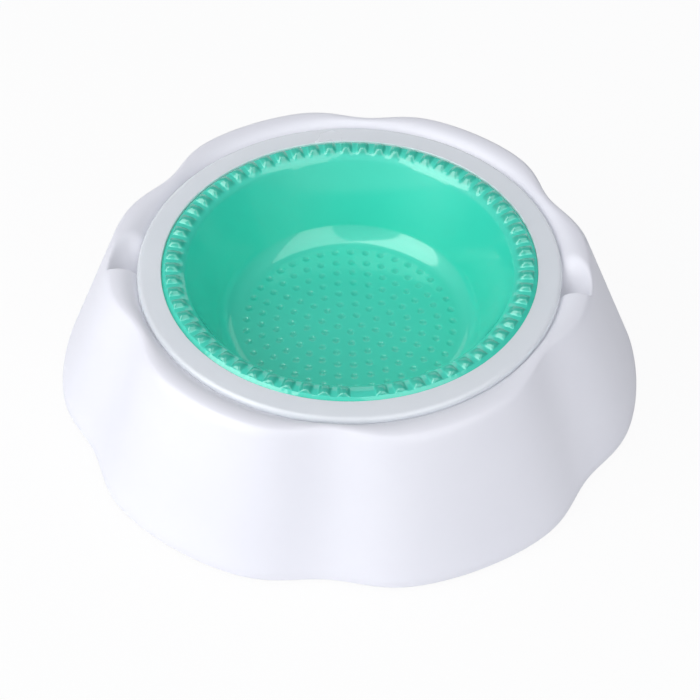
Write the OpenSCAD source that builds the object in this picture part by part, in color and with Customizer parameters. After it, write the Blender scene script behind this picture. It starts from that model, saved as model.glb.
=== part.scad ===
// Pet cooling bowl: a white base with six soft lobes, and a sealed gel insert that rests in it.
// The insert is a teal bowl welded into a clear outer shell, with cooling gel between the two.
// The origin is on the ground at the bowl's centre, +Z up. The finger recesses are on +X and -X.

/* [Base] */
// Width of the base at its foot, over two opposite lobes
base_w = 250; // [244:1:275]
// Height of the insert's flange above the ground
rim_h = 62; // [60:1:75]
// Number of lobes
lobe_n = 6; // [4:2:10]
// Depth of the valleys between the lobes
lobe_depth = 6; // [3:0.5:8]
// Narrowness of the valleys, where 1 is an even wave
valley_power = 3.6; // [1:0.2:4]
// Wall thickness of the base
wall_t = 2.4; // [2:0.1:3]
// Width of the rim at a lobe, from the insert's flange to the corner of the wall
rim_w = 12.4; // [12:0.2:16]
// Height of the wall's corner above the seat
corner_h = 2.8; // [2:0.2:4]
// Height of the point that the rim's curve is drawn up to, above the seat
crown_h = 5.4; // [4:0.2:7]
// Length of the rounding where the rim turns into the wall
corner_r = 3.2; // [2:0.2:5]
// Gap between the base's lower edge and the ground
foot_gap = 1.2; // [0.8:0.1:1.5]

/* [Finger recesses] */
// Length of a recess along the rim, from its steep front wall
grip_l = 23; // [16:1:28]
// Reach of a recess, out from its middle under the flange
grip_w = 15; // [12:0.5:15.5]
// Depth of a recess below the rim
grip_d = 9; // [6:0.5:12]
// Angle of the steep front wall in front of the X axis
grip_angle = 6.5; // [3:0.5:8]

/* [Insert] */
// Diameter of the teal bowl's rim
bowl_d = 156; // [140:1:170]
// Width of the bowl's rim, from its outer edge to the line of the bowl's wall
bowl_rim_w = 8.7; // [8:0.1:12]
// Width of the clear flange round the bowl's rim
flange_w = 10.2; // [8:0.2:12]
// Thickness of the clear flange
flange_t = 2.3; // [1.8:0.1:3]
// Reach of the rounding that rolls the bowl's rim over into its wall
roll_w = 7.2; // [5:0.2:8]
// Height of that rounding
roll_h = 4; // [3:0.2:5]
// Depth of the bowl below its rim
bowl_depth = 36; // [28:1:38]
// Slope of the bowl's wall from the vertical, in degrees
bowl_draft = 24; // [12:1:30]
// Radius between the bowl's wall and its floor
bowl_fillet = 11; // [6:1:16]
// Wall thickness of the bowl
bowl_t = 2; // [1.5:0.1:2.5]
// Wall thickness of the outer shell
shell_t = 1.8; // [1.4:0.1:2.2]
// Depth of gel under the bowl's floor
gel_t = 11; // [6:0.5:12]

/* [Beads and dimples] */
// Places for beads round the rim, of which the front one stays empty
bead_places = 63; // [40:1:65]
// Width of a bead
bead_w = 4.6; // [3:0.1:5]
// Height of a bead above the rim
bead_h = 1.4; // [1:0.1:2]
// Length of a bead
bead_l = 7.4; // [6:0.2:8]
// Fall of a bead towards the bowl's middle, in degrees
bead_tilt = 22; // [10:1:24]
// Distance from one ring of dimples to the next
dimple_pitch = 6.5; // [6:0.25:10]
// Dimples in the innermost ring; each further ring has six more
dimples_first = 5; // [3:1:8]
// Diameter of a dimple
dimple_d = 3.4; // [2:0.1:4.5]
// Depth of a dimple
dimple_depth = 0.4; // [0.2:0.1:0.6]

/* [Feet and plug] */
// Diameter of a foot's tread
foot_d = 14; // [11:0.5:16]
// Length of a foot's stem
foot_stem = 8; // [5:1:12]
// Diameter of the fill plug's head
plug_d = 12; // [10:0.5:16]

/* [Hidden] */

$fn = 96;
// Facets round a bead and a dimple, which are small
small_fn = 32;
// Clearance at the seats, round the gel and round the feet's stems
seat_gap = 0.3;
// Clearance between the outer shell and the well that it hangs in
well_gap = 1;
mouth_d = bowl_d - 2 * bowl_rim_w;
flange_d = bowl_d + 2 * flange_w;
// Height of the seat that the flange rests on, and the inner edge of the rim round it
seat_z = rim_h - flange_t - seat_gap;
seat_r = flange_d / 2 + seat_gap;

// Insert: the teal bowl's rim stands a little above the clear flange
bowl_lift = 0.3;
bowl_top = rim_h + bowl_lift;
rim_plate_t = 2;
// Outside the beads, the rim falls to its edge by this much
rim_fall = 1.2;
bowl_floor_z = bowl_top - bowl_depth;
// The rim's rounding meets the bowl's wall without a corner
roll_turn = atan(roll_w / (roll_h * tan(bowl_draft)));
roll_out_r = mouth_d / 2 + roll_w * sin(roll_turn) - roll_h * (1 - cos(roll_turn)) * tan(bowl_draft);
// The insert was dropped into the base turned by this angle
insert_turn = 8.3;
// The shell's step carries the bowl's rim, inside the flange
step_r = bowl_d / 2 + seat_gap;
step_z = bowl_top - rim_plate_t - seat_gap;
step_w = 2.6;
step_wall = 1.6;
flange_bevel = 2.4;
shell_top_r = step_r - step_w;
shell_draft = 14;
shell_fillet = 12;
shell_floor_z = bowl_floor_z - bowl_t - gel_t;
// Beads start inside a strip that is left smooth, and sink into the rim's rounding
bead_r = bead_w / 2;
bead_strip = 1.5;
bead_out_r = bowl_d / 2 - bead_strip;
// The rim's underside turns down to the bowl's wall this far inside the shell's step
rim_turn = 1;
// Dimples stay this far inside the wall's fillet
dimple_edge = 1;
// Air left over the gel, under the bowl's rim
gel_space = 6;
// Fill plug in the shell's bottom
plug_head = 0.9;
plug_stem_d = plug_d * 0.7;
plug_boss_t = 1.6;
plug_boss_w = 2.5;

// Base: the well clears the shell, and its mouth clears the shell's step
well_r = step_r + step_wall + well_gap / 2;
well_floor_z = shell_floor_z - shell_t - well_gap;
mouth_h = 3.4;
slope_t = wall_t * 1.08;
edge_r = 0.8;
// Finger recesses reach under the flange, but not into the well's wall
grip_in_r = well_r + wall_t * 0.7;
grip_step = 0.6;
grip_r = seat_r - 2;
// Level from which the recesses are sunk, and the softness of their edges
grip_top = seat_z + corner_h + 0.8;
grip_soft = 2.4;
// Posts under the seat carry the feet, in the valleys, clear of the recesses
foot_head = foot_gap + 1;
foot_stem_d = 5.6;
post_r = 4.6;
post_ring_r = well_r + post_r + 1.2;
post_top_z = seat_z - wall_t / 2;

// Points along a cup's section, from its wall's top edge down to its middle.
// grow moves the line outwards, as the other face of a wall does.
function cup(top_r, top_z, draft, floor_z, fillet, grow, steps) =
    let (cz = floor_z + fillet,
         cr = top_r - (top_z - cz) * tan(draft) - fillet / cos(draft))
    concat([[top_r + grow / cos(draft), top_z]],
           [for (i = [0:steps])
               let (a = draft + (90 - draft) * i / steps)
               [cr + (fillet + grow) * cos(a), cz - (fillet + grow) * sin(a)]],
           [[0, floor_z - grow]]);

function bowl_line(grow) =
    cup(mouth_d / 2, bowl_top, bowl_draft, bowl_floor_z, bowl_fillet, grow, 10);

function shell_line(grow, steps) =
    cup(shell_top_r, step_z, shell_draft, shell_floor_z, shell_fillet, grow, steps);

function reversed(list) = [for (i = [len(list) - 1:-1:0]) list[i]];
// A list without its first and last entries
function middle(list) = [for (i = [1:len(list) - 2]) list[i]];

// How far the base's outline is drawn in, from zero on a lobe to lobe_depth in a valley
function dent(a) = lobe_depth * pow((1 - cos(lobe_n * a)) / 2, valley_power);

// The wall's upper corner, its foot, and the point at a distance below the corner
function corner(a) = [seat_r + rim_w - dent(a), seat_z + corner_h];
function foot_edge(a) = [base_w / 2 - dent(a), foot_gap + edge_r];
function wall_length(a) = norm(foot_edge(a) - corner(a));
function on_wall(a, d) = corner(a) + (foot_edge(a) - corner(a)) * d / wall_length(a);

function bezier(p, q, r, t) = (1 - t) * (1 - t) * p + 2 * t * (1 - t) * q + t * t * r;

// The rim's curve, from the seat at t = 0 to the corner at t = 1
crown_lean = 0.4;
crown_end = 0.86;
function crown(a, t) =
    let (c = corner(a), w = c[0] - seat_r)
    bezier([seat_r, seat_z], [seat_r + crown_lean * w, seat_z + crown_h], c, t);

// The lesser of two heights, with a soft passage between them
function soft_min(a, b, k) =
    let (h = max(k - abs(a - b), 0) / k)
    min(a, b) - h * h * k / 4;

// Angle from the nearer end of the X axis, positive to the rear
function fold(a) = a > 90 ? 180 - a : a;

// Height of a finger recess: half of an oval dish behind a steep front wall.
// grow gives the face under it, a wall's thickness away.
function scoop(r, a, grow) =
    let (s = (fold(a) + grip_angle) * PI / 180 * r,
         across = (r - grip_r) / (grip_w + grow),
         along = max(s, 0) / (grip_l + grow),
         e = 1 - across * across - along * along)
    s < -grow - 0.5 ? grip_top + 2 * grip_soft : grip_top - (grip_d + grow) * e;
function scooped(p, a, grow) = [p[0], soft_min(p[1], scoop(p[0], a, grow), grip_soft)];

// One section of the base, from the well's floor over the rim to the foot and back under it
well_steps = 4;
crown_steps = 7;
corner_steps = 3;
wall_steps = 3;
under_steps = 3;
function well_wall(z, grow) =
    [shell_top_r + grow / cos(shell_draft) - (step_z - z) * tan(shell_draft), z];
function well_inside() =
    let (g = shell_t + well_gap, z = seat_z - mouth_h)
    concat(reversed(middle(shell_line(g, well_steps))),
           [well_wall(z, g), [well_r, z + mouth_h / 2], [well_r, seat_z], [grip_in_r, seat_z]]);
function rim_face(a) = concat(
    [for (r = [grip_in_r + grip_step, (grip_in_r + grip_step + seat_r) / 2])
        scooped([r, seat_z], a, 0)],
    [for (i = [0:crown_steps]) scooped(crown(a, crown_end * i / crown_steps), a, 0)],
    [for (i = [1:corner_steps])
        let (t = i / corner_steps)
        scooped(bezier(crown(a, crown_end), corner(a), on_wall(a, corner_r), t), a, 0)]);
function wall_face(a) =
    let (last = wall_length(a))
    concat([for (i = [1:wall_steps]) on_wall(a, corner_r + (last - corner_r) * i / wall_steps)],
           [foot_edge(a) - [edge_r, edge_r]]);
function under_face(a) =
    let (len = wall_length(a),
         in_z = soft_min(seat_z - wall_t, scoop(grip_in_r, a, wall_t), grip_soft))
    concat(
        [foot_edge(a) - [slope_t, edge_r]],
        [for (d = [len / 2, corner_r + 2]) scooped(on_wall(a, d) - [slope_t, 0], a, wall_t)],
        [for (i = [under_steps:-1:0])
            let (p = crown(a, crown_end * i / under_steps))
            scooped([p[0] - slope_t * i / under_steps, p[1] - wall_t], a, wall_t)],
        [scooped([grip_in_r + wall_t / 2, seat_z - wall_t], a, wall_t)],
        [well_wall(in_z, shell_t + well_gap + wall_t)],
        middle(shell_line(shell_t + well_gap + wall_t, well_steps)));
function section(a) = concat(well_inside(), rim_face(a), wall_face(a), under_face(a));

// Angles of the sections: every 3 degrees, and closer round the finger recesses
side_angles = concat([for (f = [-90:3:-12]) f],
                     [for (d = [-3.4, -2.2, -1.5, -0.8, 0]) d - grip_angle],
                     [for (d = [1.5:1.5:16.5]) d - grip_angle],
                     [for (f = [13.5:3:90]) f], [90]);
angles = concat(side_angles, [for (f = reversed(middle(side_angles))) 180 - f]);

// The sections joined into one closed skin, with a fan of faces at each end
module base_skin() {
    rings = len(angles);
    n = len(section(0));
    top = rings * n;
    under = top + 1;
    points = concat([for (a = angles, p = section(a)) [p[0] * cos(a), p[0] * sin(a), p[1]]],
                    [[0, 0, well_floor_z], [0, 0, well_floor_z - wall_t]]);
    strips = [for (i = [0:rings - 1], j = [0:n - 2])
        let (p = i * n + j, q = (i + 1) % rings * n + j)
        each [[p, q + 1, p + 1], [p, q, q + 1]]];
    fans = [for (i = [0:rings - 1])
        let (p = i * n, q = (i + 1) % rings * n)
        each [[top, q, p], [under, p + n - 1, q + n - 1]]];
    polyhedron(points, concat(strips, fans));
}

module post_at(k) {
    rotate([0, 0, 30 + 60 * k])
        translate([post_ring_r, 0, 0])
            children();
}

module base() {
    color([0.95, 0.95, 0.97])
        difference() {
            union() {
                base_skin();
                for (k = [0:5])
                    post_at(k)
                        translate([0, 0, foot_head])
                            cylinder(r = post_r, h = post_top_z - foot_head);
            }
            for (k = [0:5])
                post_at(k)
                    translate([0, 0, foot_head - 1])
                        cylinder(d = foot_stem_d + 2 * seat_gap, h = foot_stem + 2);
        }
}

// Push-in rubber foot: a domed tread with a stem that goes up into its post
module foot(k) {
    color([0.35, 0.36, 0.38])
        post_at(k) {
            translate([0, 0, 0.6])
                cylinder(d = foot_d, h = foot_head - 0.6);
            cylinder(d1 = foot_d - 1.2, d2 = foot_d, h = 0.6);
            cylinder(d = foot_stem_d, h = foot_head + foot_stem);
        }
}

// The insert's pieces are turned in the base together
module in_insert() {
    rotate([0, 0, insert_turn])
        children();
}

module outer_shell() {
    flange_r = flange_d / 2;
    under_z = rim_h - flange_t;
    outline = concat(
        [[0, shell_floor_z]],
        reversed(middle(shell_line(0, 10))),
        [[shell_top_r, step_z], [step_r, step_z], [step_r, rim_h],
         [flange_r - flange_bevel, rim_h], [flange_r - flange_bevel / 3, rim_h - flange_bevel / 5],
         [flange_r, rim_h - flange_bevel * 0.7], [flange_r, under_z],
         [step_r + step_wall, under_z], [step_r + step_wall, step_z - shell_t],
         well_wall(step_z - shell_t, shell_t)],
        middle(shell_line(shell_t, 10)),
        [[0, shell_floor_z - shell_t]]);
    color([0.84, 0.87, 0.93, 0.6])
        in_insert()
            difference() {
                union() {
                    rotate_extrude() polygon(outline);
                    translate([0, 0, shell_floor_z - shell_t / 2])
                        cylinder(d = plug_d + 2 * plug_boss_w, h = shell_t / 2 + plug_boss_t);
                }
                translate([0, 0, shell_floor_z - shell_t - 1])
                    cylinder(d = plug_d + 2 * seat_gap, h = 1 + plug_head + seat_gap);
                translate([0, 0, shell_floor_z - shell_t - 1])
                    cylinder(d = plug_stem_d + 2 * seat_gap, h = shell_t + plug_boss_t + 2);
            }
}

module fill_plug() {
    color([0.84, 0.87, 0.93])
        in_insert() {
            translate([0, 0, shell_floor_z - shell_t])
                cylinder(d = plug_d, h = plug_head);
            translate([0, 0, shell_floor_z - shell_t])
                cylinder(d = plug_stem_d, h = shell_t + plug_boss_t);
        }
}

// Gel: fills the space between the bowl and the shell, up to just below the bowl's rim
module cooling_gel() {
    gel_top_z = bowl_top - rim_plate_t - gel_space;
    bowl_wall_r = mouth_d / 2 + (bowl_t + seat_gap) / cos(bowl_draft)
                  - (bowl_top - gel_top_z) * tan(bowl_draft);
    outline = concat([[0, shell_floor_z + seat_gap]], reversed(middle(shell_line(-seat_gap, 10))),
                     [well_wall(gel_top_z, -seat_gap), [bowl_wall_r, gel_top_z]],
                     middle(bowl_line(bowl_t + seat_gap)),
                     [[0, bowl_floor_z - bowl_t - seat_gap]]);
    color([0.42, 0.8, 0.84])
        in_insert()
            difference() {
                rotate_extrude() polygon(outline);
                translate([0, 0, shell_floor_z - 1])
                    cylinder(d = plug_d + 2 * plug_boss_w + 2 * seat_gap,
                             h = 1 + plug_boss_t + seat_gap);
            }
}

// One bead: the upper half of a rod with round ends, laid along the radius and falling inwards
module bead() {
    $fn = small_fn;
    straight = bead_l - 2 * bead_r;
    translate([bead_out_r - bead_r, 0, bowl_top + bead_h - bead_r])
        rotate([0, -90 - bead_tilt, 0])
            rotate([0, 0, -90])
                rotate_extrude(angle = 180)
                    intersection() {
                        union() {
                            circle(bead_r);
                            translate([0, straight])
                                circle(bead_r);
                            translate([-bead_r, 0])
                                square([2 * bead_r, straight]);
                        }
                        translate([0, -bead_r])
                            square([bead_r, bead_l]);
                    }
}

module cooling_bowl() {
    outer_r = bowl_d / 2;
    under_z = bowl_top - rim_plate_t;
    outline = concat(
        [[0, bowl_floor_z]],
        reversed(middle(bowl_line(0))),
        [for (i = [0:8])
            let (a = roll_turn * (1 - i / 8))
            [roll_out_r - roll_w * sin(a), bowl_top - roll_h * (1 - cos(a))]],
        [[bead_out_r + 0.1, bowl_top], [outer_r - edge_r / 4, bowl_top - rim_fall],
         [outer_r, bowl_top - rim_fall - edge_r / 4], [outer_r, under_z],
         [shell_top_r - rim_turn, under_z],
         [mouth_d / 2 + bowl_t / cos(bowl_draft) - 2 * rim_plate_t * tan(bowl_draft), under_z - rim_plate_t]],
        middle(bowl_line(bowl_t)),
        [[0, bowl_floor_z - bowl_t]]);
    dimple_ball = (dimple_d * dimple_d / 4 + dimple_depth * dimple_depth) / (2 * dimple_depth);
    floor_r = middle(bowl_line(0))[10][0] + dimple_edge;
    rings = floor(floor_r / dimple_pitch - dimples_first / 6);
    color([0.33, 0.83, 0.73])
        in_insert()
            difference() {
                union() {
                    rotate_extrude() polygon(outline);
                    for (i = [1:bead_places - 1])
                        rotate([0, 0, -90 + 360 * i / bead_places]) bead();
                }
                for (k = [0:rings]) {
                    n = dimples_first + 6 * k;
                    for (i = [1:n])
                        rotate([0, 0, -90 + 360 * i / n])
                            translate([dimple_pitch * n / 6, 0, bowl_floor_z + dimple_ball - dimple_depth])
                                sphere(dimple_ball, $fn = small_fn);
                }
            }
}

base();
foot(0);  // foot_1
foot(1);  // foot_2
foot(2);  // foot_3
foot(3);  // foot_4
foot(4);  // foot_5
foot(5);  // foot_6
outer_shell();
cooling_gel();
fill_plug();
cooling_bowl();
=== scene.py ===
import math

import bmesh
import bpy
from mathutils import Matrix, Vector


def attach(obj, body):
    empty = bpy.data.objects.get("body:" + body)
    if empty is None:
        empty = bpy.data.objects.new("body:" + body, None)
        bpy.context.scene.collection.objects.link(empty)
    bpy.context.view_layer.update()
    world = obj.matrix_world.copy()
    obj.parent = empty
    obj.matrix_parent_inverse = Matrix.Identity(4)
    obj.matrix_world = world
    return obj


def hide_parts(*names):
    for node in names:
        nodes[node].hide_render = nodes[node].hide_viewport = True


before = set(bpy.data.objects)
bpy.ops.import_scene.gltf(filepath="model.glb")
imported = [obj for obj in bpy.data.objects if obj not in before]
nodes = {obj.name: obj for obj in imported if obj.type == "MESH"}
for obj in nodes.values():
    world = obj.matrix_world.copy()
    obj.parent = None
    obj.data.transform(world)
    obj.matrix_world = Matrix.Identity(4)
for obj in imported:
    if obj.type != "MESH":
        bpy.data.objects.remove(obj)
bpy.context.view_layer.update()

# Sizes of the part, in millimetres, degrees and shares. The base: its lobes, rim and edges
BASE_W, RIM_H, FOOT_GAP = 250.0, 62.0, 1.2
LOBE_N, LOBE_DEPTH, VALLEY_POWER = 6, 6.0, 3.6
WALL_T, RIM_W, CORNER_H, CROWN_H, CORNER_R = 2.4, 12.4, 2.8, 5.4, 3.2
CROWN_LEAN, CROWN_END, EDGE_R = 0.4, 0.86, 0.8
# The finger recesses
GRIP_L, GRIP_W, GRIP_D, GRIP_ANGLE, GRIP_SOFT = 23.0, 15.0, 9.0, 6.5, 2.4
GRIP_LAND, GRIP_STEP, GRIP_INSET, GRIP_OVER, GRIP_WALL = 0.7, 0.6, 2.0, 0.8, 0.8
# The insert: teal bowl, gel and clear shell
BOWL_D, BOWL_RIM_W, FLANGE_W, FLANGE_T = 156.0, 8.7, 10.2, 2.3
BOWL_DEPTH, BOWL_DRAFT, BOWL_FILLET, BOWL_T, RIM_PLATE_T = 36.0, 24.0, 11.0, 2.0, 2.0
SHELL_T, GEL_T, SHELL_DRAFT, SHELL_FILLET = 1.8, 11.0, 14.0, 12.0
STEP_W, STEP_WALL, FLANGE_BEVEL, BOWL_LIFT = 2.6, 1.6, 2.4, 0.3
STEP_EDGE, BEVEL_SHARE = 0.25, 0.7
ROLL_W, ROLL_H, STRIP_FALL, SLEEVE_H, PLATE_INSET = 7.2, 4.0, 1.2, 2.0, 1.0
# Gaps between the pieces, the funnel at the well's mouth and the insert's turn in the base
SEAT_GAP, WELL_GAP, MOUTH_H, INSERT_TURN = 0.3, 1.0, 3.4, 8.3
# Beads on the bowl's rim and dimples in its floor
BEAD_PLACES, BEAD_W, BEAD_H, BEAD_IN_R, BEAD_OUT_R = 63, 4.5, 1.25, 69.0, 76.5
DIMPLE_PITCH, DIMPLES_FIRST, DIMPLE_D, DIMPLE_DEPTH, DIMPLE_EDGE = 6.5, 5, 3.4, 0.4, 1.0
# Posts for the feet, and the boss for the plug
FOOT_STEM, FOOT_STEM_D, POST_R, POST_GAP = 8.0, 5.6, 4.6, 1.2
PLUG_D, PLUG_HEAD, PLUG_BOSS_T, PLUG_BOSS_W, PLUG_STEM_SHARE = 12.0, 0.9, 1.6, 2.5, 0.7

# Sizes that follow from them, as in the part
MOUTH_R, BOWL_R = BOWL_D / 2 - BOWL_RIM_W, BOWL_D / 2
FLANGE_R = BOWL_R + FLANGE_W
SEAT_Z, SEAT_R = RIM_H - FLANGE_T - SEAT_GAP, FLANGE_R + SEAT_GAP
BOWL_TOP = RIM_H + BOWL_LIFT
BOWL_FLOOR_Z = BOWL_TOP - BOWL_DEPTH
STEP_R, STEP_Z = BOWL_R + SEAT_GAP, BOWL_TOP - RIM_PLATE_T - SEAT_GAP
SHELL_TOP_R, WELD_R = STEP_R - STEP_W, STEP_R - 0.05
SHELL_FLOOR_Z = BOWL_FLOOR_Z - BOWL_T - GEL_T
WELL_R = STEP_R + STEP_WALL + WELL_GAP / 2
WELL_FLOOR_Z = SHELL_FLOOR_Z - SHELL_T - WELL_GAP
GRIP_IN_R, GRIP_R, GRIP_TOP = WELL_R + WALL_T * GRIP_LAND, SEAT_R - GRIP_INSET, SEAT_Z + CORNER_H + GRIP_OVER
SLOPE_T = WALL_T * 1.08     # measured level through the sloping wall
FOOT_HEAD = FOOT_GAP + 1
POST_RING_R, POST_TOP_Z = WELL_R + POST_R + POST_GAP, SEAT_Z - WALL_T / 2
WALL_TAN = math.tan(math.radians(BOWL_DRAFT))
ROLL_TURN = math.atan(ROLL_W / (ROLL_H * WALL_TAN))
ROLL_OUT_R = MOUTH_R + ROLL_W * math.sin(ROLL_TURN) - ROLL_H * (1 - math.cos(ROLL_TURN)) * WALL_TAN

DEG = math.pi / 180
MM = 0.001


def lerp(p, q, t):
    return (p[0] + (q[0] - p[0]) * t, p[1] + (q[1] - p[1]) * t)


def bezier(p, q, r, t):
    return lerp(lerp(p, q, t), lerp(q, r, t), t)


def soft_min(a, b, k):
    h = max(k - abs(a - b), 0) / k
    return min(a, b) - h * h * k / 4


def smooth(t):
    t = min(max(t, 0.0), 1.0)
    return t * t * (3 - 2 * t)


def even(start, stop, n):
    return [start + (stop - start) * i / n for i in range(n + 1)]


def cup(top_r, top_z, draft, floor_z, fillet, grow, steps):
    """Section of a cup from its wall's top edge down to its middle, without the middle point."""
    d = draft * DEG
    cz = floor_z + fillet
    cr = top_r - (top_z - cz) * math.tan(d) - fillet / math.cos(d)
    line = [(top_r + grow / math.cos(d), top_z)]
    for a in even(d, math.pi / 2, steps):
        line.append((cr + (fillet + grow) * math.cos(a), cz - (fillet + grow) * math.sin(a)))
    return line


def shell_cup(grow, steps):
    return cup(SHELL_TOP_R, STEP_Z, SHELL_DRAFT, SHELL_FLOOR_Z, SHELL_FILLET, grow, steps)[1:]


def bowl_cup(grow, steps):
    return cup(MOUTH_R, BOWL_TOP, BOWL_DRAFT, BOWL_FLOOR_Z, BOWL_FILLET, grow, steps)[1:]


def well_wall(z, grow):
    d = SHELL_DRAFT * DEG
    return (SHELL_TOP_R + grow / math.cos(d) - (STEP_Z - z) * math.tan(d), z)


# ---- The base's section at an angle (degrees)
def dent(a):
    return LOBE_DEPTH * ((1 - math.cos(LOBE_N * a * DEG)) / 2) ** VALLEY_POWER


def corner(a):
    return (SEAT_R + RIM_W - dent(a), SEAT_Z + CORNER_H)


def foot_edge(a):
    return (BASE_W / 2 - dent(a), FOOT_GAP + EDGE_R)


def on_wall(a, d):
    c, f = corner(a), foot_edge(a)
    return lerp(c, f, d / math.dist(c, f))


def crown(a, t):
    c = corner(a)
    middle = (SEAT_R + CROWN_LEAN * (c[0] - SEAT_R), SEAT_Z + CROWN_H)
    return bezier((SEAT_R, SEAT_Z), middle, c, t)


def fold(a):
    """Angle from the nearer end of the X axis, positive to the rear."""
    a = (a + 90) % 360 - 90
    return 180 - a if a > 90 else a


def scooped(p, a, grow):
    """A point of the rim sunk into a finger recess: half an oval dish behind a steep front wall.

    The wall takes GRIP_WALL degrees. The recess's underside is the same shape, grown by WALL_T."""
    d = fold(a) + GRIP_ANGLE
    if d < -GRIP_WALL - 2 * grow:
        return p
    across = (p[0] - GRIP_R) / (GRIP_W + grow)
    along = max(d, 0) * DEG * p[0] / (GRIP_L + grow)
    low = soft_min(p[1], GRIP_TOP - (GRIP_D + grow) * (1 - across ** 2 - along ** 2), GRIP_SOFT)
    return (p[0], p[1] + (low - p[1]) * smooth(1 + d / GRIP_WALL))


def base_section(a):
    line = list(reversed(shell_cup(SHELL_T + WELL_GAP, 10)))
    line += [well_wall(SEAT_Z - MOUTH_H, SHELL_T + WELL_GAP), (WELL_R, SEAT_Z - MOUTH_H / 2),
             (WELL_R, SEAT_Z), (GRIP_IN_R, SEAT_Z)]
    line += [scooped((r, SEAT_Z), a, 0) for r in even(GRIP_IN_R + GRIP_STEP, SEAT_R, 8)[:-1]]
    line += [scooped(crown(a, t), a, 0) for t in even(0, CROWN_END, 26)]
    turn = [crown(a, CROWN_END), corner(a), on_wall(a, CORNER_R)]
    line += [scooped(bezier(*turn, t), a, 0) for t in even(0, 1, 9)[1:]]
    length = math.dist(corner(a), foot_edge(a))
    line += [scooped(on_wall(a, d), a, 0) for d in even(CORNER_R, length, 18)[1:]]
    f = foot_edge(a)
    line += [(f[0] - EDGE_R * (1 - math.cos(t)), f[1] - EDGE_R * math.sin(t))
             for t in even(0, math.pi / 2, 4)[1:]]
    line.append((f[0] - SLOPE_T, f[1] - EDGE_R))
    for d in (length / 2, CORNER_R + 2):
        p = on_wall(a, d)
        line.append(scooped((p[0] - SLOPE_T, p[1]), a, WALL_T))
    for t in even(1, 0, 4):
        p = crown(a, CROWN_END * t)
        line.append(scooped((p[0] - SLOPE_T * t, p[1] - WALL_T), a, WALL_T))
    line.append(scooped((GRIP_IN_R + WALL_T / 2, SEAT_Z - WALL_T), a, WALL_T))
    under = scooped((GRIP_IN_R, SEAT_Z - WALL_T), a, WALL_T)[1]
    line.append(well_wall(under, SHELL_T + WELL_GAP + WALL_T))
    line += shell_cup(SHELL_T + WELL_GAP + WALL_T, 6)
    return line


# ---- Meshes
def at(r, a, z):
    return (r * math.cos(a * DEG) * MM, r * math.sin(a * DEG) * MM, z * MM)


def add_object(name, verts, faces, sharp=35):
    mesh = bpy.data.meshes.new(name)
    mesh.from_pydata(verts, [], faces)
    bm = bmesh.new()
    bm.from_mesh(mesh)
    bmesh.ops.recalc_face_normals(bm, faces=bm.faces)
    bm.to_mesh(mesh)
    bm.free()
    mesh.shade_smooth()
    mesh.set_sharp_from_angle(angle=sharp * DEG)
    obj = bpy.data.objects.new(name, mesh)
    bpy.context.scene.collection.objects.link(obj)
    return obj


class Rings:
    """Rings of points round the Z axis, joined one to the next whatever their numbers of points."""

    def __init__(self):
        self.verts, self.faces, self.last, self.painted_shade = [], [], None, []

    def point(self, r, z):
        self.verts.append((r * MM, 0, z * MM))
        self.painted_shade.append(0.0)
        return [len(self.verts) - 1], [0.0]

    def add(self, angles, place):
        """Adds a ring and joins it. place(angle) gives a point's r, z and perhaps its share of painted
        shade.
        """
        start = len(self.verts)
        for a in angles:
            r, z, *painted_shade = place(a)
            self.verts.append(at(r, a + INSERT_TURN, z))
            self.painted_shade.append(painted_shade[0] if painted_shade else 0.0)
        self.join(([start + i for i in range(len(angles))], list(angles)))

    def middle(self, z):
        self.join(self.point(0, z))

    def join(self, ring):
        if self.last:
            (p, pa), (q, qa) = self.last, ring
            i = j = 0
            while i < len(p) and len(p) > 1 or j < len(q) and len(q) > 1:
                next_p = pa[i + 1] if i + 1 < len(p) else pa[0] + 360
                next_q = qa[j + 1] if j + 1 < len(q) else qa[0] + 360
                go_p = len(p) > 1 and i < len(p) and (len(q) == 1 or j >= len(q) or next_p <= next_q)
                if go_p:
                    self.faces.append((p[i % len(p)], p[(i + 1) % len(p)], q[j % len(q)]))
                    i += 1
                else:
                    self.faces.append((p[i % len(p)], q[(j + 1) % len(q)], q[j % len(q)]))
                    j += 1
        self.last = ring


def evenly(n):
    return [360 * i / n for i in range(n)]


def make_base():
    # Sections from the front to the rear, closer at a recess and closest at its steep wall
    side = even(-90, -9, 81)[:-1] + even(-9, -4, 25)[:-1] + even(-4, 18, 44)[:-1] + even(18, 90, 72)
    angles = side + [180 - a for a in reversed(side[1:-1])]
    n = len(base_section(0))
    verts = [at(r, a, z) for a in angles for r, z in base_section(a)]
    faces = []
    for i in range(len(angles)):
        k = (i + 1) % len(angles)
        for j in range(n - 1):
            p, q = i * n + j, k * n + j
            faces.append((p, q, q + 1, p + 1))
        faces.append((len(verts), k * n, i * n))
        faces.append((len(verts) + 1, i * n + n - 1, k * n + n - 1))
    verts += [(0, 0, WELL_FLOOR_Z * MM), (0, 0, (WELL_FLOOR_Z - WALL_T) * MM)]
    bore_r, bore_z = FOOT_STEM_D / 2 + SEAT_GAP, FOOT_HEAD + FOOT_STEM + 1
    post = [(bore_r, bore_z), (bore_r, FOOT_HEAD), (POST_R, FOOT_HEAD), (POST_R, POST_TOP_Z)]
    around = 40
    for k in range(6):
        cx, cy = POST_RING_R * math.cos((30 + 60 * k) * DEG), POST_RING_R * math.sin((30 + 60 * k) * DEG)
        start = len(verts)
        for r, z in post:
            for i in range(around):
                t = 2 * math.pi * i / around
                verts.append(((cx + r * math.cos(t)) * MM, (cy + r * math.sin(t)) * MM, z * MM))
        for j in range(len(post) - 1):
            for i in range(around):
                p, q = start + j * around + i, start + j * around + (i + 1) % around
                faces.append((p, q, q + around, p + around))
        faces.append(tuple(range(start, start + around)))
        faces.append(tuple(range(start + 3 * around, start + 4 * around)))
    return add_object("bowl_base", verts, faces)


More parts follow.
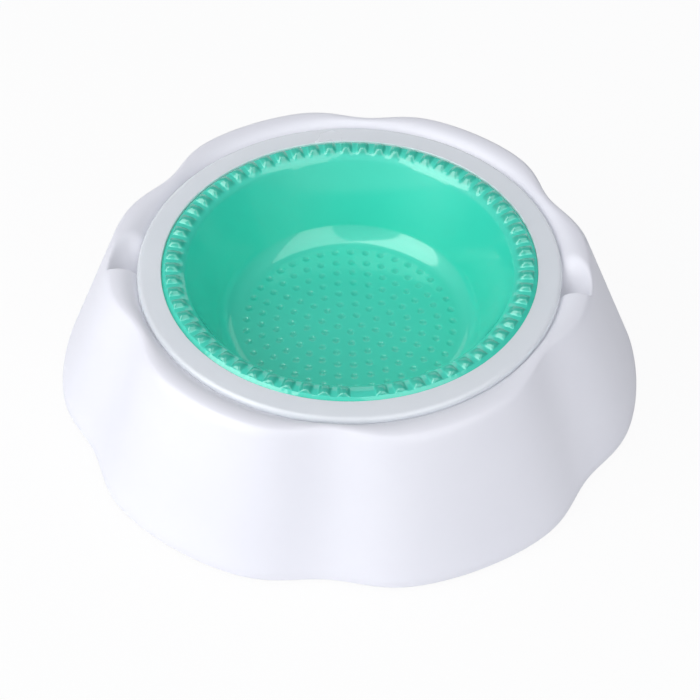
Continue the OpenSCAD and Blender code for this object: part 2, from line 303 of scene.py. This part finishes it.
def make_shell():
    under = RIM_H - FLANGE_T
    boss_r, boss_z = PLUG_D / 2 + PLUG_BOSS_W, SHELL_FLOOR_Z + PLUG_BOSS_T
    stem_r, head_r = PLUG_D * PLUG_STEM_SHARE / 2 + SEAT_GAP, PLUG_D / 2 + SEAT_GAP
    head_z, bottom = SHELL_FLOOR_Z - SHELL_T + PLUG_HEAD + SEAT_GAP, SHELL_FLOOR_Z - SHELL_T
    line = [(stem_r, boss_z), (boss_r, boss_z), (boss_r, SHELL_FLOOR_Z)]
    line += list(reversed(shell_cup(0, 12)))
    line += [(SHELL_TOP_R, STEP_Z), (STEP_R, STEP_Z)]
    line += [(STEP_R, RIM_H - STEP_EDGE), (STEP_R + STEP_EDGE, RIM_H)]
    bevel_z = RIM_H - FLANGE_BEVEL * BEVEL_SHARE
    edge = [(FLANGE_R - FLANGE_BEVEL, RIM_H), (FLANGE_R, RIM_H), (FLANGE_R, bevel_z)]
    line += [bezier(*edge, t) for t in even(0, 1, 10)]
    line += [(FLANGE_R, under), (STEP_R + STEP_WALL, under), (STEP_R + STEP_WALL, STEP_Z - SHELL_T)]
    line.append(well_wall(STEP_Z - SHELL_T, SHELL_T))
    line += shell_cup(SHELL_T, 12)
    line += [(head_r, bottom), (head_r, head_z), (stem_r, head_z)]
    rings = Rings()
    around = evenly(240)
    for p in line + line[:1]:
        rings.add(around, lambda a, p=p: p)
    # The last ring lies on the first one
    n = len(around)
    last = len(rings.verts) - n
    rings.faces = [tuple(v - last if v >= last else v for v in f) for f in rings.faces]
    del rings.verts[last:]
    return add_object("clear_flange_shell", rings.verts, rings.faces)


# Beads and dimples are set out from the empty place (degrees). A bead is wider at its soft foot.
BEAD_PITCH = 360 / BEAD_PLACES
EMPTY_PLACE = -90
BEAD_FOOT_W = BEAD_W * 1.2
PAINTED_SHADE_ATTR = "painted_shade"                           # the mesh's attribute for painted shade, darker on the beads and in the dimples
# How strongly shade is painted on the beads and in the dimples
BEAD_PAINTED_SHADE, DIMPLE_PAINTED_SHADE = 2.0, 0.45
BEAD_END_RINGS = (-0.15, 0, 0.08, 0.2, 0.4, 0.7, 1.1)   # of the mesh, in from the beads' outer ends
FLOOR_STEP = 0.58                       # from one ring of the floor's mesh to the next
DIMPLE_BALL = (DIMPLE_D ** 2 / 4 + DIMPLE_DEPTH ** 2) / (2 * DIMPLE_DEPTH)


def rim_top(r, a, bead):
    """Height of the rim and its share of painted shade, which darkens a bead, with its roll to the wall and
    a bead that grows out of it.
    """
    inward = max(ROLL_OUT_R - r, 0) / ROLL_W
    roll = -ROLL_H * (1 - math.sqrt(max(1 - inward ** 2, 0)))
    off = abs(r * math.sin((a - bead) * DEG)) / (BEAD_FOOT_W / 2)
    mid, half = (BEAD_OUT_R + BEAD_IN_R) / 2, (BEAD_OUT_R - BEAD_IN_R) / 2
    along = abs(r * math.cos((a - bead) * DEG) - mid) / half
    if off >= 1 or along >= 1 or bead == EMPTY_PLACE:
        return BOWL_TOP + roll, 0.0
    rise = smooth((r - BEAD_IN_R) / half)
    swell = (1 - off ** 3) ** 1.5 * math.sqrt(1 - along ** 6)
    return BOWL_TOP + roll + BEAD_H * rise * swell, smooth(BEAD_PAINTED_SHADE * rise * swell)


def make_bowl():
    rings = Rings()
    coarse, fine = evenly(96), evenly(300)
    under_z = BOWL_TOP - RIM_PLATE_T
    wall_out = MOUTH_R + BOWL_T / math.cos(BOWL_DRAFT * DEG) - (RIM_PLATE_T + SLEEVE_H) * WALL_TAN
    rings.last = rings.point(0, BOWL_FLOOR_Z - BOWL_T)
    for p in reversed(bowl_cup(BOWL_T, 8)):
        rings.add(coarse, lambda a, p=p: p)
    rings.add(coarse, lambda a: (wall_out, under_z - SLEEVE_H))
    rings.add(coarse, lambda a: (SHELL_TOP_R - PLATE_INSET, under_z))
    places = [EMPTY_PLACE + BEAD_PITCH * k for k in range(BEAD_PLACES)]
    nearest = {a % 360: b for b in places for a in even(b - BEAD_PITCH / 2, b + BEAD_PITCH / 2, 20)[:-1]}
    around = sorted(nearest)
    rings.add(around, lambda a: (WELD_R, under_z))
    edge = EDGE_R / 2
    for t in even(0, math.pi / 2, 3):
        rings.add(around, lambda a, t=t: (WELD_R - edge * (1 - math.cos(t)),
                                          BOWL_TOP - STRIP_FALL - edge * (1 - math.sin(t))))
    radii = [BEAD_OUT_R - d for d in BEAD_END_RINGS[:-1]]
    radii += even(BEAD_OUT_R - BEAD_END_RINGS[-1], BEAD_IN_R, 14)
    last = ROLL_OUT_R - ROLL_W * math.sin(ROLL_TURN)
    radii += even(BEAD_IN_R, last, 6)[1:-1]
    for r in radii:
        rings.add(around, lambda a, r=r: (r, *rim_top(r, a, nearest[a])))
    inside = bowl_cup(0, 24)
    low = (last, BOWL_TOP - ROLL_H * (1 - math.cos(ROLL_TURN)))
    # The wall's rings are closer at the roll
    wall = [lerp(low, inside[0], t) for t in (0, 0.05, 0.12, 0.22, 0.36, 0.52, 0.7, 0.86)]
    floor_r = inside[-1][0]
    dimples = dimple_rings(floor_r + DIMPLE_EDGE)
    for p in wall + inside:
        rings.add(fine, lambda a, p=p: dimpled(p[0], a, p[1], dimples))
    for k in range(1, int(floor_r / FLOOR_STEP)):
        r = floor_r - k * FLOOR_STEP
        rings.add(evenly(max(8, round(2 * math.pi * r / FLOOR_STEP))),
                  lambda a, r=r: dimpled(r, a, BOWL_FLOOR_Z, dimples))
    rings.middle(BOWL_FLOOR_Z)
    bowl = add_object("teal_bowl", rings.verts, rings.faces, sharp=50)
    # Painted shade: darker teal on the beads and in the dimples, kept on the mesh for the material
    bowl.data.attributes.new(PAINTED_SHADE_ATTR, "FLOAT", "POINT").data.foreach_set("value", rings.painted_shade)
    return bowl


def dimple_rings(reach):
    """Radius and number of dimples of each ring."""
    counts = [DIMPLES_FIRST + 6 * k for k in range(int(reach / DIMPLE_PITCH - DIMPLES_FIRST / 6) + 1)]
    return [(DIMPLE_PITCH * n / 6, n) for n in counts]


def dimpled(r, a, z, rings):
    """A point of the bowl's inside, sunk where it lies in a dimple, and its share of painted shade, which
    darkens the dimple.
    """
    for ring_r, n in rings:
        if abs(r - ring_r) < DIMPLE_D / 2:
            off = (a - EMPTY_PLACE + 180 / n) % (360 / n) - 180 / n
            d2 = r * r + ring_r * ring_r - 2 * r * ring_r * math.cos(off * DEG)
            if d2 < DIMPLE_D ** 2 / 4:
                z = min(z, BOWL_FLOOR_Z + DIMPLE_BALL - DIMPLE_DEPTH - math.sqrt(DIMPLE_BALL ** 2 - d2))
                return r, z, DIMPLE_PAINTED_SHADE * smooth(2 - 8 * d2 / DIMPLE_D ** 2)
    return r, z, 0.0


# ---- Materials
def material(name, **values):
    m = bpy.data.materials.new(name)
    m.use_nodes = True
    bsdf = m.node_tree.nodes["Principled BSDF"]
    for key, value in values.items():
        bsdf.inputs[key.replace("_", " ")].default_value = value
    return m, m.node_tree, bsdf


def node(tree, kind, **inputs):
    n = tree.nodes.new(kind)
    for key, value in inputs.items():
        n.inputs[key.replace("_", " ")].default_value = value
    return n


def textured(name, low, high, rough, scale, bump, bump_scale, **values):
    """A plastic: soft mottling between two colours, roughness that follows it, and a fine surface grain."""
    m, tree, bsdf = material(name, **values)
    place = tree.nodes.new("ShaderNodeTexCoord")
    mottle = node(tree, "ShaderNodeTexNoise", Scale=scale, Detail=4.0, Roughness=0.55)
    tree.links.new(place.outputs["Object"], mottle.inputs["Vector"])
    ramp = tree.nodes.new("ShaderNodeValToRGB")
    ramp.color_ramp.elements[0].position, ramp.color_ramp.elements[0].color = 0.3, (*low, 1)
    ramp.color_ramp.elements[1].position, ramp.color_ramp.elements[1].color = 0.7, (*high, 1)
    tree.links.new(mottle.outputs["Fac"], ramp.inputs["Fac"])
    tree.links.new(ramp.outputs["Color"], bsdf.inputs["Base Color"])
    span = node(tree, "ShaderNodeMapRange", To_Min=rough[0], To_Max=rough[1])
    tree.links.new(mottle.outputs["Fac"], span.inputs["Value"])
    tree.links.new(span.outputs["Result"], bsdf.inputs["Roughness"])
    grain = node(tree, "ShaderNodeTexNoise", Scale=bump_scale, Detail=3.0, Roughness=0.6)
    tree.links.new(place.outputs["Object"], grain.inputs["Vector"])
    relief = node(tree, "ShaderNodeBump", Strength=bump, Distance=0.0002)
    tree.links.new(grain.outputs["Fac"], relief.inputs["Height"])
    tree.links.new(relief.outputs["Normal"], bsdf.inputs["Normal"])
    return m


def with_painted_shade(mat, shade_tint):
    """Paints shade: multiplies a material's colour by a darker tint where the mesh carries painted shade, on
    the beads and in the dimples.
    """
    tree = mat.node_tree
    painted_shade = tree.nodes.new("ShaderNodeAttribute")
    painted_shade.attribute_name = PAINTED_SHADE_ATTR
    tone = tree.nodes.new("ShaderNodeMix")
    tone.data_type, tone.blend_type = "RGBA", "MULTIPLY"
    tone.inputs["B"].default_value = (*shade_tint, 1)
    bsdf = tree.nodes["Principled BSDF"]
    tree.links.new(bsdf.inputs["Base Color"].links[0].from_socket, tone.inputs["A"])
    tree.links.new(painted_shade.outputs["Fac"], tone.inputs["Factor"])
    tree.links.new(tone.outputs["Result"], bsdf.inputs["Base Color"])
    return mat


white = textured("white_plastic", (0.845, 0.85, 0.90), (0.875, 0.88, 0.925), (0.40, 0.48), 14, 0.05, 900,
                 Specular_IOR_Level=0.45)
clear = textured("clear_frosted_plastic", (0.90, 0.945, 0.975), (0.935, 0.97, 0.995), (0.22, 0.30), 20,
                 0.04, 700, Transmission_Weight=0.15, IOR=1.46)
teal = textured("teal_plastic", (0.040, 0.700, 0.515), (0.046, 0.740, 0.545), (0.36, 0.44), 18, 0.02, 600,
                Specular_IOR_Level=0.25, Coat_Weight=1.0, Coat_Roughness=0.08)
# Painted shade: the teal is darkened on the beads and in the dimples
with_painted_shade(teal, (0.55, 0.72, 0.70))
rubber = textured("grey_rubber", (0.075, 0.078, 0.085), (0.095, 0.098, 0.105), (0.62, 0.75), 60, 0.25, 1500)
gel = textured("pale_gel", (0.15, 0.52, 0.58), (0.20, 0.60, 0.64), (0.25, 0.35), 25, 0.05, 300,
               Transmission_Weight=0.3, IOR=1.4)
plug_plastic = textured("plug_plastic", (0.60, 0.62, 0.70), (0.66, 0.68, 0.75), (0.35, 0.42), 40, 0.05, 800)


def dress(obj, mat):
    obj.data.materials.clear()
    obj.data.materials.append(mat)


for build, mat, cad, slot in ((make_base, white, "base", "base"),
                              (make_shell, clear, "outer_shell", "clear_shell"),
                              (make_bowl, teal, "cooling_bowl", "teal")):
    piece = build()
    dress(piece, mat)
    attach(piece, "root")
    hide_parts(cad)
hidden = [(f"foot_{k}", rubber) for k in range(1, 7)] + [("cooling_gel", gel), ("fill_plug", plug_plastic)]
for name, mat in hidden:
    nodes[name].material_slots[0].material = mat

# ---- Floor, light and camera
FLOOR_REACH, FLOOR_GLOW = 3.0, 0.92


def make_floor():
    """A white floor that the camera sees mostly as a plain glow, like the photograph's white ground."""
    mesh = bpy.data.meshes.new("floor")
    corners = [(x * FLOOR_REACH, y * FLOOR_REACH, 0) for x, y in ((-1, -1), (1, -1), (1, 1), (-1, 1))]
    mesh.from_pydata(corners, [], [(0, 1, 2, 3)])
    obj = bpy.data.objects.new("floor", mesh)
    bpy.context.scene.collection.objects.link(obj)
    mat, tree, bsdf = material("floor_white", Base_Color=(0.9, 0.9, 0.9, 1), Roughness=0.9)
    glow = node(tree, "ShaderNodeEmission", Color=(1, 1, 1, 1), Strength=1.0)
    path = tree.nodes.new("ShaderNodeLightPath")
    share = tree.nodes.new("ShaderNodeMath")
    share.operation, share.inputs[1].default_value = "MULTIPLY", FLOOR_GLOW
    mix = tree.nodes.new("ShaderNodeMixShader")
    tree.links.new(path.outputs["Is Camera Ray"], share.inputs[0])
    tree.links.new(share.outputs[0], mix.inputs[0])
    tree.links.new(bsdf.outputs[0], mix.inputs[1])
    tree.links.new(glow.outputs[0], mix.inputs[2])
    tree.links.new(mix.outputs[0], tree.nodes["Material Output"].inputs[0])
    mesh.materials.append(mat)
    return obj


floor = make_floor()


def make_sky(colour, brightest, low, high):
    """A plain surround that brightens from its low level to its high one towards one direction."""
    world = bpy.data.worlds.new("studio")
    bpy.context.scene.world = world
    world.use_nodes = True
    tree = world.node_tree
    background = tree.nodes["Background"]
    background.inputs[0].default_value = (*colour, 1)
    look = tree.nodes.new("ShaderNodeTexCoord")
    towards = tree.nodes.new("ShaderNodeVectorMath")
    towards.operation, towards.inputs[1].default_value = "DOT_PRODUCT", brightest
    span = node(tree, "ShaderNodeMapRange", From_Min=-0.7, From_Max=1.0, To_Min=low, To_Max=high)
    tree.links.new(look.outputs["Generated"], towards.inputs[0])
    tree.links.new(towards.outputs["Value"], span.inputs["Value"])
    tree.links.new(span.outputs["Result"], background.inputs[1])


make_sky((0.93, 0.94, 1.0), (-0.40, -0.78, 0.48), 0.10, 0.92)


def softbox(name, centre, along, across, level, mirrored):
    """A rectangular lamp that faces the bowl, with its middle and its two sides in metres.

    The side along sets its turn, and only the length of the one across counts. The lamp either lights the
    surfaces or is only seen mirrored in them."""
    z = Vector(centre).normalized()
    y = Vector(along)
    y = (y - z * y.dot(z)).normalized()
    light = bpy.data.lights.new(name, "AREA")
    light.shape, light.size, light.size_y = "RECTANGLE", Vector(across).length, Vector(along).length
    light.energy = level * math.pi * light.size * light.size_y
    obj = bpy.data.objects.new(name, light)
    obj.matrix_world = Matrix.Translation(centre) @ Matrix((y.cross(z), y, z)).transposed().to_4x4()
    obj.visible_diffuse = not mirrored
    obj.visible_glossy = mirrored
    bpy.context.scene.collection.objects.link(obj)


softbox("softbox_left", (-0.80, -0.47, 0.58), (0.45, 0.65, 0.69), (-0.27, 0.48, -0.04), 2.2, False)
softbox("softbox_right", (0.57, -0.61, 0.73), (-0.46, 0.92, 0.75), (0.37, 0.25, -0.15), 0.9, False)
# Mirrored: two bright patches in the bowl's rear rounding, and a shine on the rim's rounding at the front
softbox("mirror_left", (-0.64, -0.31, 0.80), (0.80, 1.21, 1.23), (-0.25, 0.57, 0.01), 4.0, True)
softbox("mirror_right", (0.42, -0.39, 0.81), (-0.55, 1.61, 0.96), (0.52, 0.04, -0.20), 2.0, True)
softbox("mirror_rear", (0, 1.2, 0.42), (0, 0, 0.8), (1.5, 0, 0), 0.9, True)

# The camera as fitted to the photograph. It stands DISTANCE units from the middle of the flange's top, moved
# sideways and up by the offsets, and a unit is UNIT metres.
ELEVATION, ROLL, TURN = 45.95 * DEG, 0.086 * DEG, 4.29 * DEG
OFFSET_X, OFFSET_Y, DISTANCE, UNIT = 0.25, -45.917, 1000.0, 0.000795
FOCAL_PX, PHOTO_PX, SENSOR_W = 1913.2, 700, 36


def place_camera():
    right = Vector((1, 0, 0))
    up = Vector((0, math.sin(ELEVATION), math.cos(ELEVATION)))
    ahead = Vector((0, math.cos(ELEVATION), -math.sin(ELEVATION)))
    where = (right * OFFSET_X + up * OFFSET_Y - ahead * DISTANCE) * UNIT
    aim = Matrix((right, up, -ahead)).transposed().to_4x4()
    obj = bpy.data.objects.new("camera", bpy.data.cameras.new("camera"))
    bpy.context.scene.collection.objects.link(obj)
    obj.matrix_world = (Matrix.Translation((0, 0, RIM_H * MM)) @ Matrix.Rotation(TURN, 4, "Z")
                        @ Matrix.Translation(where) @ aim @ Matrix.Rotation(ROLL, 4, "Z"))
    obj.data.sensor_width = SENSOR_W
    obj.data.lens = FOCAL_PX / PHOTO_PX * SENSOR_W
    obj.data.clip_start, obj.data.clip_end = 0.05, 20
    bpy.context.scene.camera = obj


place_camera()
bpy.context.scene.view_settings.view_transform = "Standard"
